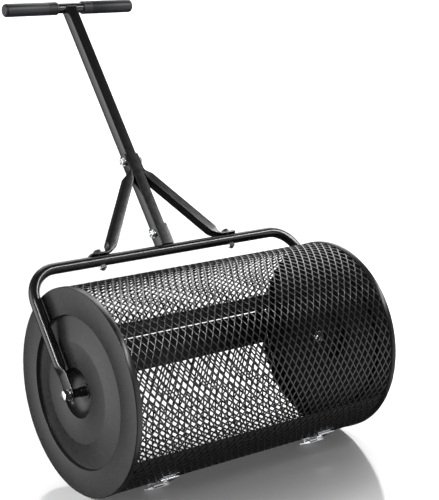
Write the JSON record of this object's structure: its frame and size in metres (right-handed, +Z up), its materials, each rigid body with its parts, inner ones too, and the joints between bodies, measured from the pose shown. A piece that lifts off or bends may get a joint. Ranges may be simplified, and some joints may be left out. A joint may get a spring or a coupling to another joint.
{
  "type": "lawn roller",
  "caption": "Push-along mesh drum roller for spreading compost or peat moss on lawns, with a leaning T-handle, braced yoke, stamped end plates and a latched, hinged mesh door.",
  "frame": {"origin": "point on the ground plane directly under the middle of the drum", "axes": "+X along the drum axis towards the right-hand grip, +Y the way the handle leans back to the user, +Z up"},
  "size_m": [0.6622, 0.6941, 0.8494],
  "materials": {
    "black_steel": "black powder coat, satin",
    "plate_steel": "black powder coat, satin, on pressed sheet",
    "rail_steel": "dark grey powder coat, satin",
    "mesh_steel": "black powder coat, semi-gloss, on expanded steel",
    "grip_rubber": "soft matt rubber",
    "zinc_steel": "bright zinc plate",
    "bush_plastic": "black nylon"
  },
  "bodies": {
    "frame": {"yoke": "black_steel", "handle_socket": "black_steel", "handle_tube": "black_steel", "handlebar": "black_steel", "grip_left": "grip_rubber", "grip_right": "grip_rubber", "brace_left": "black_steel", "brace_right": "black_steel", "brace_top_bolt": "zinc_steel", "brace_foot_bolts": "zinc_steel", "handle_foot_bolt": "zinc_steel", "frame_nuts": "zinc_steel", "frame_washers": "zinc_steel", "axle_bolts": "zinc_steel", "axle_washers": "zinc_steel", "axle_spacers": "bush_plastic", "axle_lock_nuts": "zinc_steel"},
    "drum": {"end_plate_left": "plate_steel", "end_plate_right": "plate_steel", "hub_bushes": "bush_plastic", "drum_mesh": "mesh_steel", "hinge_rail": "rail_steel", "latch_rail": "black_steel", "hinge_leaves_drum": "black_steel", "hinge_pins": "zinc_steel", "latch_keepers": "zinc_steel"},
    "door": {"door_mesh": "mesh_steel", "door_hinge_strip": "black_steel", "door_latch_strip": "black_steel", "door_end_ribs": "black_steel", "hinge_leaves_door": "black_steel", "latch_bases": "zinc_steel", "latch_pins": "zinc_steel"},
    "lever_left": {"latch_lever_left": "zinc_steel"},
    "lever_right": {"latch_lever_right": "zinc_steel"},
    "bail_left": {"latch_bail_left": "zinc_steel"},
    "bail_right": {"latch_bail_right": "zinc_steel"}
  },
  "joints": [
    {"name": "drum_spin", "type": "hinge", "parent": "frame", "child": "drum", "pos_m": [0, 0, 0.191], "axis": [1, 0, 0], "continuous": true},
    {"name": "door_hinge", "type": "hinge", "parent": "drum", "child": "door", "pos_m": [0, 0.19279, 0.20364], "axis": [1, 0, 0], "range_deg": [0, 115]},
    {"name": "latch_lever_left_hinge", "type": "hinge", "parent": "door", "child": "lever_left", "pos_m": [-0.187, -0.09131, 0.01747], "axis": [-1, 0, 0], "range_deg": [0, 100]},
    {"name": "latch_lever_right_hinge", "type": "hinge", "parent": "door", "child": "lever_right", "pos_m": [0.187, -0.09131, 0.01747], "axis": [-1, 0, 0], "range_deg": [0, 100]},
    {"name": "latch_bail_left_hinge", "type": "hinge", "parent": "lever_left", "child": "bail_left", "pos_m": [-0.187, -0.08373, 0.01477], "axis": [-1, 0, 0], "range_deg": [-120, 0]},
    {"name": "latch_bail_right_hinge", "type": "hinge", "parent": "lever_right", "child": "bail_right", "pos_m": [0.187, -0.08373, 0.01477], "axis": [-1, 0, 0], "range_deg": [-120, 0]}
  ],
  "couplings": [
    {"joint": "latch_bail_left_hinge", "follows": "latch_lever_left_hinge", "ratio": -1.2},
    {"joint": "latch_bail_right_hinge", "follows": "latch_lever_right_hinge", "ratio": -1.2}
  ]
}
